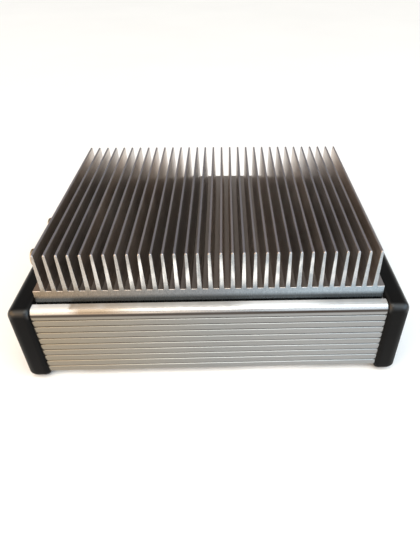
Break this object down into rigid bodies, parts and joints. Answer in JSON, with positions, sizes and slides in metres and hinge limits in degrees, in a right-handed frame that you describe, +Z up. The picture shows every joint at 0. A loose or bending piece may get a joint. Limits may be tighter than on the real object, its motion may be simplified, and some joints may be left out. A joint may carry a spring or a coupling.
{
  "type": "servo drive",
  "caption": "Servo drive in a ribbed extruded case: finned heat sink on top, black end bezels, two round connectors on the left end.",
  "frame": {"origin": "bottom centre of the bounding box, on the surface that the rubber feet stand on", "axes": "+X along the case's long side towards the end with the switch, +Y from the ribbed front face to the rear, +Z up"},
  "size_m": [0.2444, 0.1668, 0.0833],
  "materials": {
    "anodised_extrusion": "clear satin anodised, drawn along the long axis",
    "bare_aluminium": "bare extruded aluminium, saw-cut ends",
    "panel_aluminium": "fine brushed aluminium sheet",
    "black_bezel": "satin black moulded plastic",
    "switch_plastic": "black moulded plastic",
    "black_insulator": "moulded black insulator",
    "connector_shell": "golden-brown passivated plating",
    "brass": "turned brass",
    "plated_steel": "bright zinc-plated steel",
    "foot_rubber": "black rubber",
    "green_lens": "green diffused lens",
    "red_lens": "red diffused lens",
    "red_plastic": "red moulded plastic",
    "circuit_board": "green solder mask on glass-fibre board",
    "module_epoxy": "black moulding compound",
    "thermal_pad": "grey silicone pad",
    "capacitor_sleeve": "dark blue sleeve",
    "ferrite": "coated ferrite ring"
  },
  "bodies": {
    "case": {"bezel_left": "black_bezel", "bezel_right": "black_bezel", "board_header": "black_insulator", "braking_relay": "switch_plastic", "case_extrusion": "anodised_extrusion", "control_board": "circuit_board", "dc_link_capacitor_1": "capacitor_sleeve", "dc_link_capacitor_2": "capacitor_sleeve", "dc_link_capacitor_3": "capacitor_sleeve", "drive_processor": "module_epoxy", "earth_nut": "brass", "earth_stud": "brass", "encoder_connector_insert": "black_insulator", "encoder_connector_nut": "plated_steel", "encoder_connector_shell": "connector_shell", "end_panel_left": "panel_aluminium", "end_panel_right": "panel_aluminium", "end_screw_left_front_bottom": "plated_steel", "end_screw_left_front_top": "plated_steel", "end_screw_left_rear_bottom": "plated_steel", "end_screw_left_rear_top": "plated_steel", "end_screw_right_front_bottom": "plated_steel", "end_screw_right_front_top": "plated_steel", "end_screw_right_rear_bottom": "plated_steel", "end_screw_right_rear_top": "plated_steel", "heat_sink": "bare_aluminium", "heat_sink_screw_left_front": "plated_steel", "heat_sink_screw_left_rear": "plated_steel", "heat_sink_screw_right_front": "plated_steel", "heat_sink_screw_right_rear": "plated_steel", "input_choke": "ferrite", "inverter_module": "module_epoxy", "inverter_screw_left": "plated_steel", "inverter_screw_right": "plated_steel", "inverter_thermal_pad": "thermal_pad", "io_jackscrew_front": "plated_steel", "io_jackscrew_rear": "plated_steel", "io_socket_insert": "black_insulator", "io_socket_shell": "plated_steel", "motor_connector_insert": "black_insulator", "motor_connector_nut": "plated_steel", "motor_connector_shell": "connector_shell", "network_socket": "plated_steel", "power_board": "circuit_board", "power_inlet": "switch_plastic", "power_switch_housing": "switch_plastic", "rectifier_module": "module_epoxy", "rectifier_screw": "plated_steel", "rectifier_thermal_pad": "thermal_pad", "reset_button_bushing": "plated_steel", "rubber_foot_front_left": "foot_rubber", "rubber_foot_front_right": "foot_rubber", "rubber_foot_rear_left": "foot_rubber", "rubber_foot_rear_right": "foot_rubber", "slide_in_plate": "panel_aluminium", "status_led_fault": "red_lens", "status_led_ready": "green_lens"},
    "rocker": {"power_switch_rocker": "red_plastic"},
    "reset_button": {"reset_button_cap": "red_plastic"}
  },
  "joints": [
    {"name": "power_switch", "type": "hinge", "parent": "case", "child": "rocker", "pos_m": [0.11035, 0.024, 0.027], "axis": [0, 1, 0], "range_deg": [0, 20]},
    {"name": "reset_press", "type": "slide", "parent": "case", "child": "reset_button", "axis": [-1, 0, 0], "range_m": [0, 0.0015], "stiffness_N_per_m": 600, "springref_m": -0.001}
  ]
}
